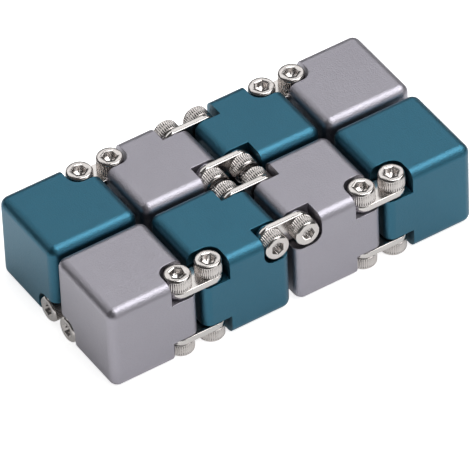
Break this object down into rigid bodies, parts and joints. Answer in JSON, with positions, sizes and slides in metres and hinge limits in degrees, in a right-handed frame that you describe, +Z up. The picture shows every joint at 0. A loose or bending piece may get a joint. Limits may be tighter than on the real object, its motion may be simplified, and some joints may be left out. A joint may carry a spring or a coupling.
{
  "type": "infinity fidget cube",
  "caption": "Folding metal fidget cube: anodised aluminium blocks joined in a closed loop by double-pivot screw-and-link hinges, lying flat and unfolded.",
  "frame": {"origin": "centre of the underside of the loop, lying flat", "axes": "+X along the row of four blocks, +Y from the front row to the back row, +Z up"},
  "size_m": [0.0836, 0.0412, 0.02],
  "materials": {
    "teal_anodised": "bead-blasted, teal anodised",
    "grey_anodised": "bead-blasted, silver-grey anodised",
    "link_steel": "polished plate, edges broken",
    "screw_steel": "nickel-plated, knurled head"
  },
  "bodies": {
    "left_back": {"block_b1": "teal_anodised", "block_b2": "grey_anodised", "link_b12_bottom": "link_steel", "link_b12_top": "link_steel", "screw_b12_b1_bottom": "screw_steel", "screw_b12_b1_top": "screw_steel", "screw_b12_b2_bottom": "screw_steel", "screw_b12_b2_top": "screw_steel", "screw_b23_b2_back": "screw_steel", "screw_b23_b2_front": "screw_steel", "screw_fb1_b1_left": "screw_steel", "screw_fb1_b1_right": "screw_steel"},
    "right_back": {"block_b3": "teal_anodised", "block_b4": "grey_anodised", "link_b34_bottom": "link_steel", "link_b34_top": "link_steel", "screw_b23_b3_back": "screw_steel", "screw_b23_b3_front": "screw_steel", "screw_b34_b3_bottom": "screw_steel", "screw_b34_b3_top": "screw_steel", "screw_b34_b4_bottom": "screw_steel", "screw_b34_b4_top": "screw_steel", "screw_fb4_b4_left": "screw_steel", "screw_fb4_b4_right": "screw_steel"},
    "left_front": {"block_f1": "grey_anodised", "block_f2": "teal_anodised", "link_f12_bottom": "link_steel", "link_f12_top": "link_steel", "screw_f12_f1_bottom": "screw_steel", "screw_f12_f1_top": "screw_steel", "screw_f12_f2_bottom": "screw_steel", "screw_f12_f2_top": "screw_steel", "screw_f23_f2_back": "screw_steel", "screw_f23_f2_front": "screw_steel", "screw_fb1_f1_left": "screw_steel", "screw_fb1_f1_right": "screw_steel"},
    "right_front": {"block_f3": "grey_anodised", "block_f4": "teal_anodised", "link_f34_bottom": "link_steel", "link_f34_top": "link_steel", "screw_f23_f3_back": "screw_steel", "screw_f23_f3_front": "screw_steel", "screw_f34_f3_bottom": "screw_steel", "screw_f34_f3_top": "screw_steel", "screw_f34_f4_bottom": "screw_steel", "screw_f34_f4_top": "screw_steel", "screw_fb4_f4_left": "screw_steel", "screw_fb4_f4_right": "screw_steel"},
    "links_back": {"link_b23_back": "link_steel", "link_b23_front": "link_steel"},
    "links_front": {"link_f23_back": "link_steel", "link_f23_front": "link_steel"},
    "links_left": {"link_fb1_left": "link_steel", "link_fb1_right": "link_steel"},
    "links_right": {"link_fb4_left": "link_steel", "link_fb4_right": "link_steel"}
  },
  "joints": [
    {"name": "fold_over_lower", "type": "hinge", "parent": "left_back", "child": "links_back", "pos_m": [-0.0035, 0.0106, 0.0171], "axis": [0, -1, 0], "range_deg": [0, 90]},
    {"name": "fold_over_upper", "type": "hinge", "parent": "links_back", "child": "right_back", "pos_m": [0.0035, 0.0106, 0.0171], "axis": [0, -1, 0], "range_deg": [0, 90]},
    {"name": "fold_over_front", "type": "hinge", "parent": "left_front", "child": "links_front", "pos_m": [-0.0035, -0.0106, 0.0171], "axis": [0, -1, 0], "range_deg": [0, 90]},
    {"name": "fold_under_first", "type": "hinge", "parent": "left_back", "child": "links_left", "pos_m": [-0.0318, 0.0035, 0.0029], "axis": [1, 0, 0], "range_deg": [0, 90]},
    {"name": "fold_under_second", "type": "hinge", "parent": "links_left", "child": "left_front", "pos_m": [-0.0318, -0.0035, 0.0029], "axis": [1, 0, 0], "range_deg": [0, 90]},
    {"name": "fold_under_right_first", "type": "hinge", "parent": "right_back", "child": "links_right", "pos_m": [0.0318, 0.0035, 0.0029], "axis": [1, 0, 0], "range_deg": [0, 90]},
    {"name": "fold_under_right_second", "type": "hinge", "parent": "links_right", "child": "right_front", "pos_m": [0.0318, -0.0035, 0.0029], "axis": [1, 0, 0], "range_deg": [0, 90]}
  ],
  "couplings": [
    {"joint": "fold_over_upper", "follows": "fold_over_lower", "ratio": 1},
    {"joint": "fold_over_front", "follows": "fold_over_lower", "ratio": 1},
    {"joint": "fold_under_second", "follows": "fold_under_first", "ratio": 1},
    {"joint": "fold_under_right_first", "follows": "fold_under_first", "ratio": 1},
    {"joint": "fold_under_right_second", "follows": "fold_under_first", "ratio": 1}
  ]
}
